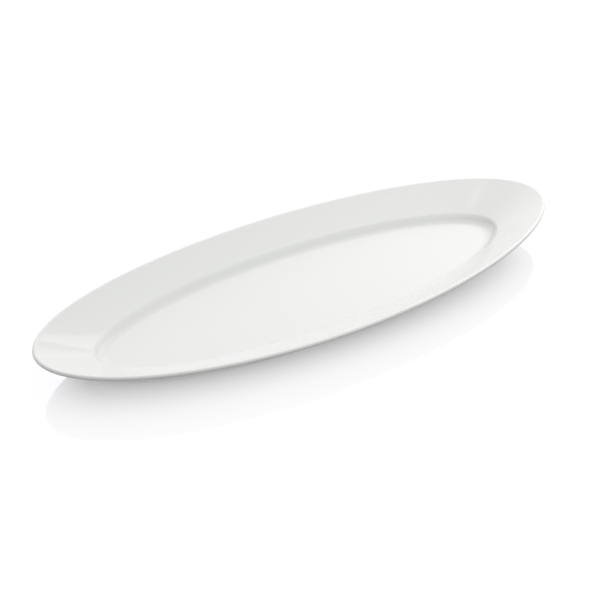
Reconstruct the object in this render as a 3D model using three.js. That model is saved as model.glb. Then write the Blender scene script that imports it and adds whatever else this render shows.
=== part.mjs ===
// Oval serving platter of white porcelain, in millimetres, standing on the plane z = 0.
// Its long axis lies along X. One pressed and fired body carries two coats of glaze,
// and the bare, ground foot ring that the platter stands on keeps the two coats apart.
import * as THREE from 'three';

// Overall size, over the glaze
const platterLength = 600;
const platterWidth = 209.4;
const lipSideHeight = 38.4; // middle of the lip over the table, half way along each side
const lipEndHeight = 44.8; // and at the two ends, where the wider rim climbs further
const lipThickness = 5.2;
const ovalPower = 1.97; // 2 is a true ellipse, and less draws the diagonals in

// Well and wall, over the glaze
const wellLength = 471.2; // between the feet of the wall, as if the hollow were sharp
const wellWidth = 126.6;
const wellHeight = 12.2; // floor of the well over the table
const wallRun = 5.4; // outward from the foot of the wall to the shoulder
const wallRise = 9.3;
const hollowRadius = 15; // between floor and wall
const shoulderRadius = 6.5; // between wall and rim
const underRadius = 5; // below the shoulder, on the underside

// Thickness, with the glaze on both faces
const floorThickness = 7;
const wallThickness = 6;

// Foot ring
const footHeight = 5; // where it leaves the underside of the wall
const footWidth = 5; // across the sole
const footDraft = THREE.MathUtils.degToRad(12); // lean of both its walls
const footRounding = 1; // along both edges of the sole
const footFillet = 3; // where its walls meet the underside

// Glaze
const glazeThickness = 0.3;
const bareHeight = 2; // the glaze is wiped off the foot ring up to here

// Facets of each round stretch
const ovalSteps = 60;
const hollowSteps = 4;
const shoulderSteps = 3;
const lipSteps = 2; // over the lip's top quarter, and again over its underside
const undersideSteps = 2;
const footSteps = 2;

const upward = new THREE.Vector2(0, 1);
const downward = new THREE.Vector2(0, -1);

function onAngle(angle) {
  return new THREE.Vector2(Math.cos(angle), Math.sin(angle));
}

function leftOf(direction) {
  return new THREE.Vector2(-direction.y, direction.x);
}

function heading(from, to) {
  return to.clone().sub(from).normalize();
}

function anglesBetween(from, to, steps) {
  return Array.from({ length: steps + 1 }, (unused, i) => THREE.MathUtils.lerp(from, to, i / steps));
}

// The arc of each corner of a path, as points that know their outward normal, to the left.
// A radius is held back where its corner has too little room on either side.
function cornerArcs(start, corners, end) {
  const points = [start, ...corners.map((corner) => corner.point), end];
  const turns = corners.map((corner, i) => {
    const arriving = heading(points[i], points[i + 1]);
    const leaving = heading(points[i + 1], points[i + 2]);
    return Math.atan2(arriving.cross(leaving), arriving.dot(leaving));
  });
  const reaches = corners.map((corner, i) => corner.radius * Math.tan(Math.abs(turns[i]) / 2));
  const reachAt = (i) => reaches[i] ?? 0;
  return corners.map((corner, i) => {
    const roomBefore = points[i].distanceTo(points[i + 1]);
    const roomAfter = points[i + 1].distanceTo(points[i + 2]);
    const wantedBefore = reachAt(i - 1) + reaches[i];
    const wantedAfter = reaches[i] + reachAt(i + 1);
    const held = Math.min(1, roomBefore / wantedBefore, roomAfter / wantedAfter);
    const arriving = heading(points[i], points[i + 1]);
    const bend = Math.sign(turns[i]) * corner.radius * held;
    const first = corner.point.clone().addScaledVector(arriving, -reaches[i] * held);
    const centre = first.clone().addScaledVector(leftOf(arriving), bend);
    const turned = corner.steps ? anglesBetween(0, turns[i], corner.steps) : [0];
    return turned.map((angle) => {
      const normal = leftOf(arriving).rotateAround(new THREE.Vector2(), angle);
      return { point: centre.clone().addScaledVector(normal, -bend), normal };
    });
  });
}

// Half a cross-section over the glaze, in three stretches: from the middle of the well out over
// the lip and back under to the foot ring, round the sole, and on to the middle of the base.
// The bare sole lies one coat low, as if it were glazed.
function halfSection(wellSpan, lipSpan, lipHeight) {
  const soleHeight = -glazeThickness;
  const baseHeight = wellHeight - floorThickness;
  const lipRadius = lipThickness / 2;
  const wallAngle = Math.atan2(wallRise, wallRun);

  const wellMiddle = new THREE.Vector2(0, wellHeight);
  const wallFoot = new THREE.Vector2(wellSpan, wellHeight);
  const shoulder = new THREE.Vector2(wellSpan + wallRun, wellHeight + wallRise);

  // The rim's upper face touches the round lip from above, and its underside from below
  const lipCentre = new THREE.Vector2(lipSpan - lipRadius, lipHeight);
  const toLip = lipCentre.clone().sub(shoulder);
  const rimAngle = toLip.angle() + Math.asin(lipRadius / toLip.length());
  const bisector = (wallAngle + rimAngle) / 2;
  const cornerDepth = wallThickness / Math.cos((wallAngle - rimAngle) / 2);
  const underShoulder = shoulder.clone().addScaledVector(leftOf(onAngle(bisector)), -cornerDepth);
  const underToLip = lipCentre.clone().sub(underShoulder);
  const underAngle = underToLip.angle() - Math.asin(lipRadius / underToLip.length());
  const rimEnd = rimAngle + Math.PI / 2;
  const lipTop = Math.PI / 2;
  const lipOutermost = 0;
  const undersideStart = underAngle - Math.PI / 2;
  const lip = [
    rimEnd,
    ...anglesBetween(lipTop, lipOutermost, lipSteps),
    ...anglesBetween(lipOutermost, undersideStart, lipSteps).slice(1),
  ].map((angle) => {
    const normal = onAngle(angle);
    return { point: lipCentre.clone().addScaledVector(normal, lipRadius), normal };
  });

  // The foot ring leaves the underside of the wall and leans in on both sides of its sole
  const footTop = new THREE.Vector2(
    underShoulder.x - (underShoulder.y - footHeight) / Math.tan(wallAngle),
    footHeight,
  );
  const lean = Math.tan(footDraft);
  const soleOuter = new THREE.Vector2(footTop.x - lean * (footHeight - soleHeight), soleHeight);
  const soleInner = new THREE.Vector2(soleOuter.x - footWidth, soleHeight);
  const baseEdge = new THREE.Vector2(soleInner.x - lean * (baseHeight - soleHeight), baseHeight);
  const outerStop = new THREE.Vector2(soleOuter.x + lean * (bareHeight - soleHeight), bareHeight);
  const innerStop = new THREE.Vector2(soleInner.x - lean * (bareHeight - soleHeight), bareHeight);
  const baseMiddle = new THREE.Vector2(0, baseHeight);

  const [hollowArc, shoulderArc] = cornerArcs(
    wellMiddle,
    [
      { point: wallFoot, radius: hollowRadius, steps: hollowSteps },
      { point: shoulder, radius: shoulderRadius, steps: shoulderSteps },
    ],
    lip[0].point,
  );
  const [underArc, footArc, outerStopPoint, outerSoleArc, innerSoleArc, innerStopPoint, baseArc] =
    cornerArcs(
      lip[lip.length - 1].point,
      [
        { point: underShoulder, radius: underRadius, steps: undersideSteps },
        { point: footTop, radius: footFillet, steps: footSteps },
        { point: outerStop, radius: 0, steps: 0 },
        { point: soleOuter, radius: footRounding, steps: footSteps },
        { point: soleInner, radius: footRounding, steps: footSteps },
        { point: innerStop, radius: 0, steps: 0 },
        { point: baseEdge, radius: footFillet, steps: footSteps },
      ],
      baseMiddle,
    );
  const wellPole = { point: wellMiddle, normal: upward };
  const basePole = { point: baseMiddle, normal: downward };
  return {
    upper: [wellPole, ...hollowArc, ...shoulderArc, ...lip, ...underArc, ...footArc, ...outerStopPoint],
    sole: [...outerSoleArc, ...innerSoleArc],
    base: [...innerStopPoint, ...baseArc, basePole],
  };
}

function overGlaze(stretch) {
  return stretch.map(({ point }) => point);
}

// The fired body begins one coat of glaze inside the finished face
function underGlaze(stretch) {
  return stretch.map(({ point, normal }) => point.clone().addScaledVector(normal, -glazeThickness));
}

function bodyOutline({ upper, sole, base }) {
  return underGlaze([...upper, ...sole, ...base]);
}

// Out over the glazed face as far as the foot ring, and back along the body beneath it
function upperCoatOutline({ upper }) {
  return [...overGlaze(upper), ...underGlaze(upper).reverse()];
}

// Out along the body inside the foot ring, and back over the glazed base
function baseCoatOutline({ base }) {
  return [...underGlaze(base).reverse(), ...overGlaze(base)];
}

// A closed solid through oval rings, from a point on the axis to another point on it.
// The section across the platter gives each ring's half width and its height at the sides,
// and the section along the platter gives its half length and its height at the ends.
function ovalLoft(across, along) {
  const last = across.length - 1;
  const squared = (value) => Math.sign(value) * Math.abs(value) ** (2 / ovalPower);
  const positions = [0, 0, across[0].y];
  for (let ring = 1; ring < last; ring += 1) {
    for (let step = 0; step < ovalSteps; step += 1) {
      const angle = (2 * Math.PI * step) / ovalSteps;
      const lengthwise = squared(Math.cos(angle));
      const crosswise = squared(Math.sin(angle));
      const height = THREE.MathUtils.lerp(across[ring].y, along[ring].y, lengthwise ** 2);
      positions.push(along[ring].x * lengthwise, across[ring].x * crosswise, height);
    }
  }
  positions.push(0, 0, across[last].y);

  const vertex = (ring, step) => 1 + (ring - 1) * ovalSteps + (step % ovalSteps);
  const place = (index) => new THREE.Vector3().fromArray(positions, 3 * index);
  const distance = (from, to) => place(from).distanceTo(place(to));
  const endVertex = positions.length / 3 - 1;
  const triangles = [];
  for (let step = 0; step < ovalSteps; step += 1) {
    triangles.push(0, vertex(1, step), vertex(1, step + 1));
    for (let ring = 1; ring < last - 1; ring += 1) {
      const [here, next] = [vertex(ring, step), vertex(ring + 1, step)];
      const [beside, nextBeside] = [vertex(ring, step + 1), vertex(ring + 1, step + 1)];
      // The shorter diagonal, so that two faces on the same rings have the same facets
      if (distance(here, nextBeside) < distance(next, beside)) {
        triangles.push(here, next, nextBeside, here, nextBeside, beside);
      } else {
        triangles.push(here, next, beside, next, nextBeside, beside);
      }
    }
    triangles.push(vertex(last - 1, step), endVertex, vertex(last - 1, step + 1));
  }
  const geometry = new THREE.BufferGeometry();
  geometry.setAttribute('position', new THREE.Float32BufferAttribute(positions, 3));
  geometry.setIndex(triangles);
  geometry.computeVertexNormals();
  return geometry;
}

const acrossSection = halfSection(wellWidth / 2, platterWidth / 2, lipSideHeight);
const alongSection = halfSection(wellLength / 2, platterLength / 2, lipEndHeight);

function platterPiece(name, outline, material) {
  const mesh = new THREE.Mesh(ovalLoft(outline(acrossSection), outline(alongSection)), material);
  mesh.name = name;
  return mesh;
}

const bareBody = new THREE.MeshStandardMaterial({ color: 0xe8e5dd, roughness: 0.75, metalness: 0 });
const upperGlaze = new THREE.MeshStandardMaterial({ color: 0xf1f2f0, roughness: 0.1, metalness: 0 });
const baseGlaze = new THREE.MeshStandardMaterial({ color: 0xeff0ed, roughness: 0.14, metalness: 0 });

const platter = new THREE.Group();
platter.name = 'oval_platter';
platter.add(platterPiece('porcelain_body', bodyOutline, bareBody));
platter.add(platterPiece('upper_glaze_coat', upperCoatOutline, upperGlaze));
platter.add(platterPiece('base_glaze_coat', baseCoatOutline, baseGlaze));

export default platter;
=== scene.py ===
import math

import bpy
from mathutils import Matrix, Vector


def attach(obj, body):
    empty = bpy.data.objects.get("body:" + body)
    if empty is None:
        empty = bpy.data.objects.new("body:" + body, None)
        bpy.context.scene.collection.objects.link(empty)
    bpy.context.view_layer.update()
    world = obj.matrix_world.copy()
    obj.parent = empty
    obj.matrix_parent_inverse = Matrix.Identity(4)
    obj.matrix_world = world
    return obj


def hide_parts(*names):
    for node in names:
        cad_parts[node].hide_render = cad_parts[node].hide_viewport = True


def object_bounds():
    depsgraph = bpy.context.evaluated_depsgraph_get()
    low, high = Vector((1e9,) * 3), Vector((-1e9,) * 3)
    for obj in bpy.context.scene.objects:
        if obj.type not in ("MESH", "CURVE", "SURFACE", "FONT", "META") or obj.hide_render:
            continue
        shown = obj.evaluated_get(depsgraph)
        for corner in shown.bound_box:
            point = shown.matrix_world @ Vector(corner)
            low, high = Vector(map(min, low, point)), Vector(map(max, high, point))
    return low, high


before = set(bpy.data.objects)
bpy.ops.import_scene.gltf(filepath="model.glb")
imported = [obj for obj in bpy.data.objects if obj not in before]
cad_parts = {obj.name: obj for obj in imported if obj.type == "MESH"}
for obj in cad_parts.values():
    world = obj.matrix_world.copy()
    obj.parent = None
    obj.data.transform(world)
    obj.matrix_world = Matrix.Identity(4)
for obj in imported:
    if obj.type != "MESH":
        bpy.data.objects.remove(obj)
cadBox = [list(corner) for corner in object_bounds()]
lowCorner, highCorner = cadBox
scene = bpy.context.scene
print("frame loaded, box", cadBox)

# The platter's shape in metres, over the glaze. Its length, width and stand come from the frame.
platter = {
    "length": highCorner[0] - lowCorner[0],
    "width": highCorner[1] - lowCorner[1],
    "tableHeight": lowCorner[2],
    "lipSideHeight": 0.0384,  # middle of the lip over the table, half way along each side
    "lipEndHeight": 0.0448,  # and at the two ends
    "lipThickness": 0.0052,
    "ovalPower": 1.97,  # 2 is a true ellipse
    "ovalSteps": 256,
    "wellLength": 0.4712,  # between the feet of the wall, as if the hollow were sharp
    "wellWidth": 0.1266,
    "wellHeight": 0.0122,
    "wallRun": 0.0054,
    "wallRise": 0.0093,
    "hollowRadius": 0.015,  # between floor and wall
    "shoulderRadius": 0.0065,  # between wall and rim
    "underRadius": 0.005,  # below the shoulder, on the underside
    "floorThickness": 0.007,
    "wallThickness": 0.006,
    "footHeight": 0.005,
    "footWidth": 0.005,
    "footDraft": math.radians(12),
    "footRounding": 0.001,
    "footFillet": 0.003,
    "glazeThickness": 0.0003,
    "bareHeight": 0.002,  # the glaze is wiped off the foot ring up to here
    "hollowSteps": 14,
    "shoulderSteps": 10,
    "lipSteps": 9,
    "footSteps": 5,
    "floorRings": (0.3, 0.6, 0.8, 0.9, 0.945),  # shares of the way to the foot of the wall
    "rimRings": (0.2, 0.35, 0.5, 0.65, 0.8, 0.92),  # shares of the way from shoulder to lip
    "seamGap": 2e-6,  # points closer than this are joined
}


def heading(angle):
    return Vector((math.cos(angle), math.sin(angle)))


def slopeOf(run):
    return math.atan2(run.y, run.x)


def corner(point, radius=0.0, steps=0, pooled=0.5):
    return {"point": point, "radius": radius, "steps": steps, "pooled": pooled}


def ringsBetween(start, end, shares, pooled):
    return [corner(start.lerp(end, share), pooled=pooled) for share in shares]


# Where two lines that touch a round edge, at these two angles round it, cross each other
def tangentCorner(centre, radius, firstAngle, secondAngle):
    reach = radius / math.cos((firstAngle - secondAngle) / 2)
    return centre + heading((firstAngle + secondAngle) / 2) * reach


# Corners of half a section over the glaze, from the middle of the well over the lip, back under
# to the foot ring, round the bare sole and on to the middle of the base.
# "pooled" says how thick the glaze lay: 1 where it ran together, 0 where it drew back.
def halfSection(wellSpan, lipSpan, lipHeight):
    lipRadius = platter["lipThickness"] / 2
    soleHeight = -platter["glazeThickness"]
    baseHeight = platter["wellHeight"] - platter["floorThickness"]
    wallAngle = math.atan2(platter["wallRise"], platter["wallRun"])

    wellMiddle = Vector((0.0, platter["wellHeight"]))
    wallFoot = Vector((wellSpan, platter["wellHeight"]))
    shoulder = wallFoot + Vector((platter["wallRun"], platter["wallRise"]))
    lipCentre = Vector((lipSpan - lipRadius, lipHeight))
    toLip = lipCentre - shoulder
    rimAngle = slopeOf(toLip) + math.asin(lipRadius / toLip.length)
    cornerDepth = platter["wallThickness"] / math.cos((wallAngle - rimAngle) / 2)
    underShoulder = shoulder - heading((wallAngle + rimAngle) / 2 + math.pi / 2) * cornerDepth
    underToLip = lipCentre - underShoulder
    underAngle = slopeOf(underToLip) - math.asin(lipRadius / underToLip.length)

    # the lip's two corners lie either side of its outermost direction
    overLip = rimAngle + math.pi / 2
    underLip = underAngle - math.pi / 2
    lipMiddle = (overLip + underLip) / 2
    lipTop = tangentCorner(lipCentre, lipRadius, overLip, lipMiddle)
    lipBottom = tangentCorner(lipCentre, lipRadius, lipMiddle, underLip)

    lean = math.tan(platter["footDraft"])
    footDrop = (underShoulder.y - platter["footHeight"]) / math.tan(wallAngle)
    footTop = Vector((underShoulder.x - footDrop, platter["footHeight"]))
    soleOuter = Vector((footTop.x - lean * (footTop.y - soleHeight), soleHeight))
    soleInner = soleOuter - Vector((platter["footWidth"], 0.0))
    baseEdge = Vector((soleInner.x - lean * (baseHeight - soleHeight), baseHeight))
    stopLean = lean * (platter["bareHeight"] - soleHeight)
    outerStop = Vector((soleOuter.x + stopLean, platter["bareHeight"]))
    innerStop = Vector((soleInner.x - stopLean, platter["bareHeight"]))
    baseMiddle = Vector((0.0, baseHeight))

    foot = platter["footSteps"]
    return {
        "upper": [
            corner(wellMiddle, pooled=0.6),
            *ringsBetween(wellMiddle, wallFoot, platter["floorRings"], 0.6),
            corner(wallFoot, platter["hollowRadius"], platter["hollowSteps"], 1.0),
            corner(shoulder, platter["shoulderRadius"], platter["shoulderSteps"], 0.3),
            *ringsBetween(shoulder, lipTop, platter["rimRings"], 0.5),
            corner(lipTop, lipRadius, platter["lipSteps"], 0.0),
            corner(lipBottom, lipRadius, platter["lipSteps"], 0.1),
            *ringsBetween(lipBottom, underShoulder, platter["rimRings"], 0.5),
            corner(underShoulder, platter["underRadius"], platter["shoulderSteps"], 0.6),
            corner(footTop, platter["footFillet"], foot, 0.8),
            corner(outerStop, pooled=0.0),
        ],
        "sole": [
            corner(soleOuter, platter["footRounding"], foot),
            corner(soleInner, platter["footRounding"], foot),
        ],
        "base": [
            corner(innerStop, pooled=0.0),
            corner(baseEdge, platter["footFillet"], foot, 1.0),
            *ringsBetween(baseEdge, baseMiddle, platter["floorRings"], 0.6),
            corner(baseMiddle, pooled=0.6),
        ],
    }


# The same corners one coat of glaze further in, where the fired body begins
def underGlaze(section):
    coat = platter["glazeThickness"]
    corners = section["upper"] + section["sole"] + section["base"]
    points = [entry["point"] for entry in corners]
    inner = []
    for index, entry in enumerate(corners):
        before = points[index] - points[max(index - 1, 0)]
        after = points[min(index + 1, len(points) - 1)] - points[index]
        arriving = (before if before.length else after).normalized()
        leaving = (after if after.length else before).normalized()
        outwards = arriving.orthogonal() + leaving.orthogonal()
        inset = outwards * (coat / (1 + arriving.dot(leaving)))
        turn = arriving.x * leaving.y - arriving.y * leaving.x
        radius = entry["radius"] + math.copysign(coat, turn) if entry["radius"] else 0.0
        inner.append(corner(entry["point"] - inset, radius, entry["steps"], entry["pooled"]))
    upperEnd = len(section["upper"])
    baseStart = upperEnd + len(section["sole"])
    return {"upper": inner[:upperEnd], "sole": inner[upperEnd:baseStart], "base": inner[baseStart:]}


def bodyOutline(section):
    body = underGlaze(section)
    return body["upper"] + body["sole"] + body["base"]


def upperCoatOutline(section):
    return section["upper"] + underGlaze(section)["upper"][::-1]


def baseCoatOutline(section):
    return underGlaze(section)["base"][::-1] + section["base"]


# Shared by every node tree here: settings are properties, inputs are values or linked sockets
def addNode(tree, kind, inputs=None, **settings):
    made = tree.nodes.new(kind)
    for name, value in settings.items():
        setattr(made, name, value)
    for socket, value in (inputs or {}).items():
        if isinstance(value, bpy.types.NodeSocket):
            tree.links.new(value, made.inputs[socket])
        else:
            made.inputs[socket].default_value = value
    return made


def mathNode(tree, operation, first, second=0.0):
    return addNode(tree, "ShaderNodeMath", {0: first, 1: second}, operation=operation).outputs[0]


# Geometry Nodes: rounds the corners of two half sections and lofts them through oval rings
def buildLoftTree():
    tree = bpy.data.node_groups.new("ovalLoft", "GeometryNodeTree")
    for name, kind in (
        ("Sections", "NodeSocketGeometry"),
        ("Oval Power", "NodeSocketFloat"),
        ("Oval Steps", "NodeSocketInt"),
        ("Seam Gap", "NodeSocketFloat"),
        ("Finish", "NodeSocketMaterial"),
    ):
        tree.interface.new_socket(name, in_out="INPUT", socket_type=kind)
    tree.interface.new_socket("Piece", in_out="OUTPUT", socket_type="NodeSocketGeometry")
    given = addNode(tree, "NodeGroupInput").outputs

    def attribute(name, kind):
        return addNode(tree, "GeometryNodeInputNamedAttribute", {"Name": name},
                       data_type=kind).outputs[0]

    index = addNode(tree, "GeometryNodeInputIndex").outputs[0]
    split = addNode(tree, "GeometryNodeSeparateGeometry", {
        "Geometry": given["Sections"], "Selection": attribute("lengthwise", "BOOLEAN")})

    def roundedSection(points):
        cloud = addNode(tree, "GeometryNodeMeshToPoints", {"Mesh": points}).outputs[0]
        line = addNode(tree, "GeometryNodePointsToCurves", {
            "Points": cloud, "Weight": index}).outputs[0]
        return addNode(tree, "GeometryNodeFilletCurve", {
            "Curve": line,
            "Count": attribute("roundSteps", "INT"),
            "Radius": attribute("roundRadius", "FLOAT"),
            "Limit Radius": True,
        }, mode="POLY").outputs[0]

    along = roundedSection(split.outputs["Selection"])
    across = roundedSection(split.outputs["Inverted"])
    size = addNode(tree, "GeometryNodeAttributeDomainSize", {0: across}, component="CURVE")
    ringCount = size.outputs["Point Count"]

    # one row of the grid for each ring, one column for each step round the oval
    columns = mathNode(tree, "ADD", given["Oval Steps"], 1)
    grid = addNode(tree, "GeometryNodeMeshGrid", {
        "Vertices X": columns, "Vertices Y": ringCount}).outputs[0]
    ring = mathNode(tree, "FLOORED_MODULO", index, ringCount)
    step = mathNode(tree, "FLOOR", mathNode(tree, "DIVIDE", index, ringCount))
    turned = mathNode(tree, "MULTIPLY", step, 2 * math.pi)
    turn = mathNode(tree, "DIVIDE", turned, given["Oval Steps"])
    exponent = mathNode(tree, "DIVIDE", 2.0, given["Oval Power"])

    def ovalShare(wave):
        size = mathNode(tree, "POWER", mathNode(tree, "ABSOLUTE", wave), exponent)
        return mathNode(tree, "MULTIPLY", size, mathNode(tree, "SIGN", wave))

    def sectionPoint(curve):
        place = addNode(tree, "GeometryNodeInputPosition").outputs[0]
        sampled = addNode(tree, "GeometryNodeSampleIndex", {
            "Geometry": curve, "Value": place, "Index": ring}, data_type="FLOAT_VECTOR")
        return addNode(tree, "ShaderNodeSeparateXYZ", {0: sampled.outputs[0]}).outputs

    lengthwise = ovalShare(mathNode(tree, "COSINE", turn))
    crosswise = ovalShare(mathNode(tree, "SINE", turn))
    side, end = sectionPoint(across), sectionPoint(along)
    endShare = mathNode(tree, "MULTIPLY", lengthwise, lengthwise)
    climb = mathNode(tree, "MULTIPLY", mathNode(tree, "SUBTRACT", end["Z"], side["Z"]), endShare)
    place = addNode(tree, "ShaderNodeCombineXYZ", {
        "X": mathNode(tree, "MULTIPLY", end["X"], lengthwise),
        "Y": mathNode(tree, "MULTIPLY", side["X"], crosswise),
        "Z": mathNode(tree, "ADD", side["Z"], climb),
    }).outputs[0]
    pooled = addNode(tree, "GeometryNodeSampleIndex", {
        "Geometry": across, "Value": attribute("pooled", "FLOAT"), "Index": ring}).outputs[0]

    marked = addNode(tree, "GeometryNodeStoreNamedAttribute", {
        "Geometry": grid, "Name": "glazePooled", "Value": pooled}).outputs[0]
    lofted = addNode(tree, "GeometryNodeSetPosition", {
        "Geometry": marked, "Position": place}).outputs[0]
    closed = addNode(tree, "GeometryNodeMergeByDistance", {
        "Geometry": lofted, "Distance": given["Seam Gap"]}).outputs[0]
    outward = addNode(tree, "GeometryNodeFlipFaces", {"Mesh": closed}).outputs[0]
    smooth = addNode(tree, "GeometryNodeSetShadeSmooth", {"Geometry": outward}).outputs[0]
    real = addNode(tree, "GeometryNodeRealizeInstances", {"Geometry": smooth}).outputs[0]
    finished = addNode(tree, "GeometryNodeSetMaterial", {
        "Geometry": real, "Material": given["Finish"]}).outputs[0]
    addNode(tree, "NodeGroupOutput", {"Piece": finished})
    return tree


def setInput(modifier, name, value):
    socket = modifier.node_group.interface.items_tree[name]
    modifier[socket.identifier] = value


loftTree = buildLoftTree()
acrossSection = halfSection(
    platter["wellWidth"] / 2, platter["width"] / 2, platter["lipSideHeight"])
alongSection = halfSection(
    platter["wellLength"] / 2, platter["length"] / 2, platter["lipEndHeight"])


# One finished piece: its two outlines go in as loose points and come out as a closed mesh
def loftPiece(name, outline, finish, replacedNode):
    corners = outline(acrossSection) + outline(alongSection)
    half = len(corners) // 2
    sections = bpy.data.meshes.new(name + "Sections")
    points = [entry["point"] for entry in corners]
    sections.from_pydata([(p.x, 0.0, platter["tableHeight"] + p.y) for p in points], [], [])
    for label, kind, values in (
        ("roundRadius", "FLOAT", [entry["radius"] for entry in corners]),
        ("roundSteps", "INT", [max(entry["steps"] - 1, 0) for entry in corners]),
        ("pooled", "FLOAT", [entry["pooled"] for entry in corners]),
        ("lengthwise", "BOOLEAN", [index >= half for index in range(len(corners))]),
    ):
        sections.attributes.new(label, kind, "POINT").data.foreach_set("value", values)

    maker = bpy.data.objects.new(name + "Maker", sections)
    scene.collection.objects.link(maker)
    loft = maker.modifiers.new("loft", "NODES")
    loft.node_group = loftTree
    setInput(loft, "Oval Power", platter["ovalPower"])
    setInput(loft, "Oval Steps", platter["ovalSteps"])
    setInput(loft, "Seam Gap", platter["seamGap"])
    setInput(loft, "Finish", finish)
    evaluated = maker.evaluated_get(bpy.context.evaluated_depsgraph_get())
    mesh = bpy.data.meshes.new_from_object(evaluated)
    mesh.name = name
    bpy.data.objects.remove(maker)
    bpy.data.meshes.remove(sections)

    piece = bpy.data.objects.new(name, mesh)
    scene.collection.objects.link(piece)
    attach(piece, "root")
    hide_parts(replacedNode)
    print("made", name, len(mesh.polygons), "faces")


# Finishes
def newMaterial(name):
    material = bpy.data.materials.new(name)
    material.use_nodes = True
    tree = material.node_tree
    return material, tree, tree.nodes["Principled BSDF"].inputs


def noiseNode(tree, place, scale, detail=2.0, roughness=0.5):
    return addNode(tree, "ShaderNodeTexNoise", {
        "Vector": place, "Scale": scale, "Detail": detail, "Roughness": roughness}).outputs["Fac"]


def rangeNode(tree, value, fromLow, fromHigh, toLow, toHigh):
    return addNode(tree, "ShaderNodeMapRange", {
        "Value": value, "From Min": fromLow, "From Max": fromHigh,
        "To Min": toLow, "To Max": toHigh}, interpolation_type="SMOOTHSTEP").outputs["Result"]


def blendNode(tree, share, first, second):
    # 6 and 7 are the two colours, 2 the blended one
    return addNode(tree, "ShaderNodeMix", {
        "Factor": share, 6: first, 7: second}, data_type="RGBA").outputs[2]


# Shared by both coats
glazeGrain = {
    "driftScale": 9.0,  # broad changes in the depth of the glaze
    "driftAmount": 0.5,
    "speckScale": 60.0,
    "speckRarity": 0.9,  # share of the places without a speck
    "speckSize": (0.006, 0.02),  # full inside the first, gone outside the second
    "speckAmount": 0.5,
    "smearScale": 31.0,  # patches of lesser gloss
    "smearSpan": (0.3, 0.7),
    "ior": 1.52,
}

upperGlaze = {
    "thinColour": (0.858, 0.85, 0.844, 1.0),
    "pooledColour": (0.838, 0.832, 0.826, 1.0),
    "speckColour": (0.42, 0.40, 0.36, 1.0),
    "gloss": (0.035, 0.075),
    "waveScale": 14.0,
    "waveDepth": 0.00004,
}

baseGlaze = {
    "thinColour": (0.89, 0.885, 0.86, 1.0),
    "pooledColour": (0.84, 0.855, 0.84, 1.0),
    "speckColour": (0.36, 0.33, 0.28, 1.0),
    "gloss": (0.09, 0.17),
    "waveScale": 22.0,
    "waveDepth": 0.00008,
}


def glazeFinish(name, glaze):
    material, tree, shader = newMaterial(name)
    place = addNode(tree, "ShaderNodeTexCoord").outputs["Object"]
    pooled = addNode(tree, "ShaderNodeAttribute", attribute_name="glazePooled").outputs["Fac"]
    drift = mathNode(tree, "SUBTRACT", noiseNode(tree, place, glazeGrain["driftScale"]), 0.5)
    drifted = mathNode(tree, "MULTIPLY", drift, glazeGrain["driftAmount"])
    depth = mathNode(tree, "ADD", pooled, drifted)
    coat = blendNode(tree, depth, glaze["thinColour"], glaze["pooledColour"])

    cells = addNode(tree, "ShaderNodeTexVoronoi", {"Vector": place, "Scale": glazeGrain["speckScale"]})
    chosen = addNode(tree, "ShaderNodeSeparateColor", {0: cells.outputs["Color"]}).outputs[0]
    rare = mathNode(tree, "GREATER_THAN", chosen, glazeGrain["speckRarity"])
    dot = rangeNode(tree, cells.outputs["Distance"], *glazeGrain["speckSize"], 1.0, 0.0)
    faint = mathNode(tree, "MULTIPLY", dot, glazeGrain["speckAmount"])
    speck = mathNode(tree, "MULTIPLY", faint, rare)
    colour = blendNode(tree, speck, coat, glaze["speckColour"])
    tree.links.new(colour, shader["Base Color"])

    smear = noiseNode(tree, place, glazeGrain["smearScale"], 3.0)
    gloss = rangeNode(tree, smear, *glazeGrain["smearSpan"], *glaze["gloss"])
    tree.links.new(gloss, shader["Roughness"])

    wave = noiseNode(tree, place, glaze["waveScale"], 1.0)
    waved = addNode(tree, "ShaderNodeBump", {
        "Height": wave, "Strength": 1.0, "Distance": glaze["waveDepth"]}).outputs[0]
    tree.links.new(waved, shader["Normal"])
    shader["IOR"].default_value = glazeGrain["ior"]
    return material


bareFoot = {
    "fired": (0.80, 0.775, 0.72, 1.0),
    "stained": (0.66, 0.58, 0.48, 1.0),
    "stainScale": 38.0,
    "stainSpan": (0.5, 0.75),
    "stainAmount": 0.5,
    "grainScale": 900.0,
    "grainSpan": (0.3, 0.7),
    "grainStrength": 0.6,
    "grainDepth": 0.0001,
    "roughness": (0.55, 0.8),
}


def bareFootFinish():
    material, tree, shader = newMaterial("bareFootFinish")
    place = addNode(tree, "ShaderNodeTexCoord").outputs["Object"]
    grain = noiseNode(tree, place, bareFoot["grainScale"], 4.0, 0.65)
    stain = noiseNode(tree, place, bareFoot["stainScale"], 4.0)
    stained = rangeNode(tree, stain, *bareFoot["stainSpan"], 0.0, bareFoot["stainAmount"])
    colour = blendNode(tree, stained, bareFoot["fired"], bareFoot["stained"])
    tree.links.new(colour, shader["Base Color"])
    roughness = rangeNode(tree, grain, *bareFoot["grainSpan"], *bareFoot["roughness"])
    tree.links.new(roughness, shader["Roughness"])
    rough = addNode(tree, "ShaderNodeBump", {
        "Height": grain,
        "Strength": bareFoot["grainStrength"],
        "Distance": bareFoot["grainDepth"],
    }).outputs[0]
    tree.links.new(rough, shader["Normal"])
    return material


loftPiece("porcelainBody", bodyOutline, bareFootFinish(), "porcelain_body")
loftPiece("upperGlaze", upperCoatOutline, glazeFinish("upperGlazeFinish", upperGlaze),
          "upper_glaze_coat")
loftPiece("baseGlaze", baseCoatOutline, glazeFinish("baseGlazeFinish", baseGlaze),
          "base_glaze_coat")
print("pieces made")


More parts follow.
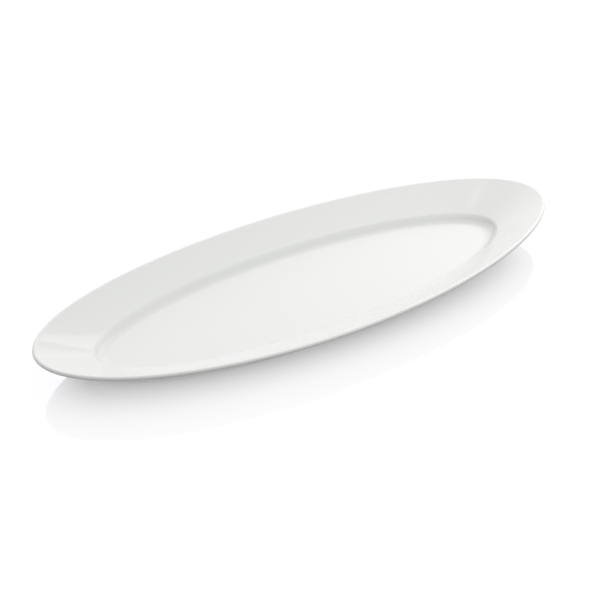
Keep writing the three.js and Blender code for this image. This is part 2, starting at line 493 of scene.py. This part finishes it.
# 1 for rays that show a surface itself, 0 for those that only gather its light
def seenRays(tree):
    rays = addNode(tree, "ShaderNodeLightPath").outputs
    mirrored = mathNode(tree, "MAXIMUM", rays["Is Glossy Ray"], rays["Is Transmission Ray"])
    return mathNode(tree, "MAXIMUM", rays["Is Camera Ray"], mirrored)


# Table top: white under a polished coat that mirrors the platter, more strongly close to it.
# It glows white a little way from the platter. A painted shadow, an oval round the foot ring, dims that
# glow near it, so the shadow stays close to the foot ring.
table = {
    "size": 8.0,
    "drop": 0.0001,  # just under the bare sole
    # its own colour under real light, shown only within the painted shadow; its green is lowered to tint
    # that shadow
    "colour": (0.995, 0.92, 0.998, 1.0),
    "underGlow": (0.0, 0.0, 0.0, 1.0),  # its own colour where the glow is full
    "bounce": (0.15, 0.15, 0.15, 1.0),  # what it throws back on the platter
    "coatRoughness": 0.09,
    "coatIor": 1.5,
    "glow": 1.03,  # 1 is white, and the coat takes its share
    # a little green taken out of the glow, which tints the painted shadow where the glow is dimmed
    "glowColour": (1.0, 0.988, 1.0, 1.0),
    "shadeLength": 0.456,  # the oval of painted shadow, deepest inside it, about as large as the foot
    "shadeWidth": 0.1295,
    "shadePlace": (-0.0173, 0.0106, 0.0),  # middle of that oval
    "shadeTurn": math.radians(-2.77),
    "shadeDepth": 0.633,  # depth of the painted shadow there: the share of the glow taken away, and of real light and shade let through
    "shadeReach": 0.28,  # and how far outside it the table is white
    "shadeFall": 8.0,
    "mirrorDepth": 0.9,  # share of a plain mirror in the same oval
    "mirrorReach": 0.0766,  # and how far outside it only the coat mirrors
    "mirrorFall": 3.06,
    "mirrorRoughness": 0.06,
    "mirrorColour": (1.0, 1.0, 1.0, 1.0),
}


def makeTable():
    half = table["size"] / 2
    height = platter["tableHeight"] - table["drop"]
    mesh = bpy.data.meshes.new("tableTop")
    mesh.from_pydata([(-half, -half, height), (half, -half, height),
                      (half, half, height), (-half, half, height)], [], [(0, 1, 2, 3)])
    material, tree, shader = newMaterial("tableTopFinish")
    shader["Specular IOR Level"].default_value = 0.0
    shader["Coat Weight"].default_value = 1.0
    shader["Coat Roughness"].default_value = table["coatRoughness"]
    shader["Coat IOR"].default_value = table["coatIor"]

    # distance outside the oval: its equation over the length of its slope
    place = addNode(tree, "ShaderNodeTexCoord").outputs["Object"]
    halves = Vector((table["shadeLength"] / 2, table["shadeWidth"] / 2, 1.0))
    scaled = addNode(tree, "ShaderNodeMapping", {
        "Vector": place,
        "Location": table["shadePlace"],
        "Rotation": (0.0, 0.0, table["shadeTurn"]),
        "Scale": halves,
    }, vector_type="TEXTURE").outputs[0]
    steep = addNode(tree, "ShaderNodeVectorMath", {0: scaled, 1: halves}, operation="DIVIDE").outputs[0]
    level = addNode(tree, "ShaderNodeVectorMath", {0: scaled}, operation="LENGTH").outputs["Value"]
    slope = addNode(tree, "ShaderNodeVectorMath", {0: steep}, operation="LENGTH").outputs["Value"]
    over = mathNode(tree, "MULTIPLY", mathNode(tree, "SUBTRACT", level, 1.0), level)
    outside = mathNode(tree, "DIVIDE", over, slope)

    def fading(depth, reach, fall):
        inward = addNode(tree, "ShaderNodeMapRange", {
            "Value": outside, "From Min": 0.0, "From Max": reach,
            "To Min": 1.0, "To Max": 0.0}).outputs["Result"]
        return mathNode(tree, "MULTIPLY", mathNode(tree, "POWER", inward, fall), depth)

    # painted shadow: an oval round the foot ring that dims the table's glow
    paintedShade = fading(table["shadeDepth"], table["shadeReach"], table["shadeFall"])
    mirror = fading(table["mirrorDepth"], table["mirrorReach"], table["mirrorFall"])
    seen = seenRays(tree)
    # real light and shadow show only where the painted shadow dims the glow
    shown = blendNode(tree, paintedShade, table["underGlow"], table["colour"])
    tree.links.new(blendNode(tree, seen, table["bounce"], shown), shader["Base Color"])
    shader["Emission Color"].default_value = table["glowColour"]
    # the glow, dimmed by the painted shadow
    lit = mathNode(tree, "MULTIPLY", mathNode(tree, "SUBTRACT", 1.0, paintedShade), table["glow"])
    glow = mathNode(tree, "MULTIPLY", lit, seen)
    tree.links.new(glow, shader["Emission Strength"])
    polish = addNode(tree, "ShaderNodeBsdfPrincipled", {
        "Base Color": table["mirrorColour"],
        "Metallic": 1.0,
        "Roughness": table["mirrorRoughness"]})
    surface = addNode(tree, "ShaderNodeMixShader", {
        0: mathNode(tree, "MULTIPLY", mirror, seen),
        1: tree.nodes["Principled BSDF"].outputs[0],
        2: polish.outputs[0]})
    tree.links.new(surface.outputs[0], tree.nodes["Material Output"].inputs["Surface"])
    mesh.materials.append(material)
    top = bpy.data.objects.new("tableTop", mesh)
    scene.collection.objects.link(top)


makeTable()
print("table made")

# Soft studio light: a grey room, dark at the horizon, with lighter stretches of wall and ceiling.
# One is a large round screen behind the platter, the last is a small lamp overhead, and a softbox
# stands on the right. Azimuth 0 is behind the platter and 90 at its right, in degrees.
room = {
    "walls": (0.45, 0.455, 0.448, 1.0),
    "horizon": (0.0, 0.0, 0.0, 1.0),
    "horizonHeights": (-0.02, 0.25),  # sines of the elevations between which walls take over
    "backdrop": (1.0, 1.0, 1.0, 1.0),  # what is seen behind the table's far edge
    "backdropHeights": (0.26, 0.33),  # sines of the elevations between which it ends
    "stretches": [
        {"azimuth": 165, "elevation": 50, "inner": 2, "outer": 50, "colour": (1.10, 1.155, 1.10, 1.0)},
        {"azimuth": 2, "elevation": 42, "inner": 6, "outer": 74, "colour": (0.94, 0.94, 0.95, 1.0)},
        {"azimuth": 35, "elevation": 5, "inner": 25, "outer": 28, "colour": (1.45, 1.45, 1.46, 1.0)},
        {"azimuth": 18, "elevation": 45, "inner": 28.5, "outer": 30.5, "colour": (1.30, 1.30, 1.32, 1.0)},
        {"azimuth": -166, "elevation": 79.8, "inner": 0.8, "outer": 2.6, "colour": (1.70, 1.70, 1.70, 1.0)},
    ],
}

softbox = {
    "azimuth": 85,
    "elevation": 38,
    "distance": 0.8,
    "width": 0.80,
    "height": 0.58,
    "brightness": 1.25,  # 1 shows as white
}


def directionTo(place):
    azimuth, elevation = math.radians(place["azimuth"]), math.radians(place["elevation"])
    level = math.cos(elevation)
    return Vector((math.sin(azimuth) * level, math.cos(azimuth) * level, math.sin(elevation)))


def makeRoom():
    world = bpy.data.worlds.new("studio")
    world.use_nodes = True
    scene.world = world
    tree = world.node_tree
    looking = addNode(tree, "ShaderNodeTexCoord").outputs["Generated"]
    height = addNode(tree, "ShaderNodeSeparateXYZ", {0: looking}).outputs["Z"]
    raised = rangeNode(tree, height, *room["horizonHeights"], 0.0, 1.0)
    colour = blendNode(tree, raised, room["horizon"], room["walls"])
    for stretch in room["stretches"]:
        facing = addNode(tree, "ShaderNodeVectorMath", {0: looking, 1: directionTo(stretch)},
                         operation="DOT_PRODUCT").outputs["Value"]
        share = rangeNode(tree, facing, math.cos(math.radians(stretch["outer"])),
                          math.cos(math.radians(stretch["inner"])), 0.0, 1.0)
        colour = blendNode(tree, share, colour, stretch["colour"])
    low = rangeNode(tree, height, *room["backdropHeights"], 1.0, 0.0)
    behind = mathNode(tree, "MULTIPLY", low, seenRays(tree))
    shown = blendNode(tree, behind, colour, room["backdrop"])
    tree.links.new(shown, tree.nodes["Background"].inputs["Color"])
    tree.nodes["Background"].inputs["Strength"].default_value = 1.0


def makeSoftbox():
    light = bpy.data.lights.new("softbox", "AREA")
    light.shape = "RECTANGLE"
    light.size = softbox["width"]
    light.size_y = softbox["height"]
    light.energy = math.pi * softbox["width"] * softbox["height"] * softbox["brightness"]
    lamp = bpy.data.objects.new("softbox", light)
    towards = directionTo(softbox)
    lamp.location = towards * softbox["distance"]
    lamp.rotation_euler = (-towards).to_track_quat("-Z", "Y").to_euler()
    scene.collection.objects.link(lamp)


makeRoom()
makeSoftbox()
print("lights made")

# Camera, from the photograph's viewing angle
view = {
    "azimuth": math.radians(-27.39),
    "elevation": math.radians(41.2),
    "distance": 1.21292,
    "target": (-0.01542, -0.01171, 0.0146),
    "lens": 68.256,
    "sensor": 36.0,
}


def makeCamera():
    lens = bpy.data.cameras.new("camera")
    lens.sensor_fit = "HORIZONTAL"
    lens.sensor_width = view["sensor"]
    lens.lens = view["lens"]
    camera = bpy.data.objects.new("camera", lens)
    level = math.cos(view["elevation"])
    back = Vector((math.sin(view["azimuth"]) * level, -math.cos(view["azimuth"]) * level,
                   math.sin(view["elevation"])))
    camera.location = Vector(view["target"]) + back * view["distance"]
    camera.rotation_euler = (-back).to_track_quat("-Z", "Y").to_euler()
    scene.collection.objects.link(camera)
    scene.camera = camera


makeCamera()
scene.view_settings.view_transform = "Standard"
